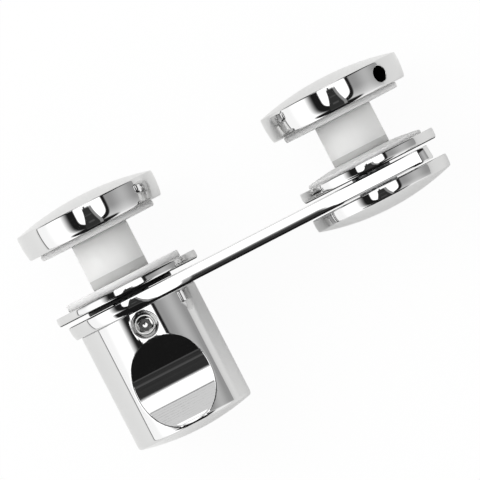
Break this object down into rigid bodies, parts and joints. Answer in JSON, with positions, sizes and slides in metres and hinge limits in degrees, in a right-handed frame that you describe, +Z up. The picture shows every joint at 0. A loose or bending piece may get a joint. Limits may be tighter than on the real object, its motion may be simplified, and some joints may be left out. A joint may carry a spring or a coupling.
{
  "type": "shower door latch",
  "caption": "Chromed latch for a glass shower door: a knob with a thumb scoop turns a hooked arm that drops over a grooved keeper, each side clamped through the glass.",
  "frame": {"origin": "on the pivot axis at the middle of the door glass", "axes": "+X from the pivot to the keeper, +Y through the glass towards the inner caps, +Z up as installed"},
  "size_m": [0.0847, 0.0525, 0.031],
  "materials": {
    "chrome": "polished",
    "steel": "turned",
    "clear_polymer": "translucent",
    "black_nylon": "moulded"
  },
  "bodies": {
    "glass_fixings": {"door_bush": "clear_polymer", "door_seat_gasket": "clear_polymer", "door_disc": "chrome", "pivot_stud": "steel", "pivot_washer": "black_nylon", "keeper_bush": "clear_polymer", "keeper_seat_gasket": "clear_polymer", "keeper_disc": "chrome", "keeper_stud": "steel", "keeper_sleeve": "steel", "keeper_outer_cap": "chrome"},
    "latch": {"latch_arm": "chrome", "arm_screws": "steel", "knob": "chrome", "grub_screw": "steel"},
    "door_cap_set": {"door_cap": "chrome", "door_cap_gasket": "clear_polymer"},
    "keeper_cap_set": {"keeper_cap": "chrome", "keeper_cap_gasket": "clear_polymer"}
  },
  "joints": [
    {"name": "latch_swing", "type": "hinge", "parent": "glass_fixings", "child": "latch", "pos_m": [0, 0, 0], "axis": [0, -1, 0], "range_deg": [0, 180]},
    {"name": "door_cap_off", "type": "slide", "parent": "glass_fixings", "child": "door_cap_set", "axis": [0, 1, 0], "range_m": [0, 0.03]},
    {"name": "keeper_cap_off", "type": "slide", "parent": "glass_fixings", "child": "keeper_cap_set", "axis": [0, 1, 0], "range_m": [0, 0.03]}
  ]
}
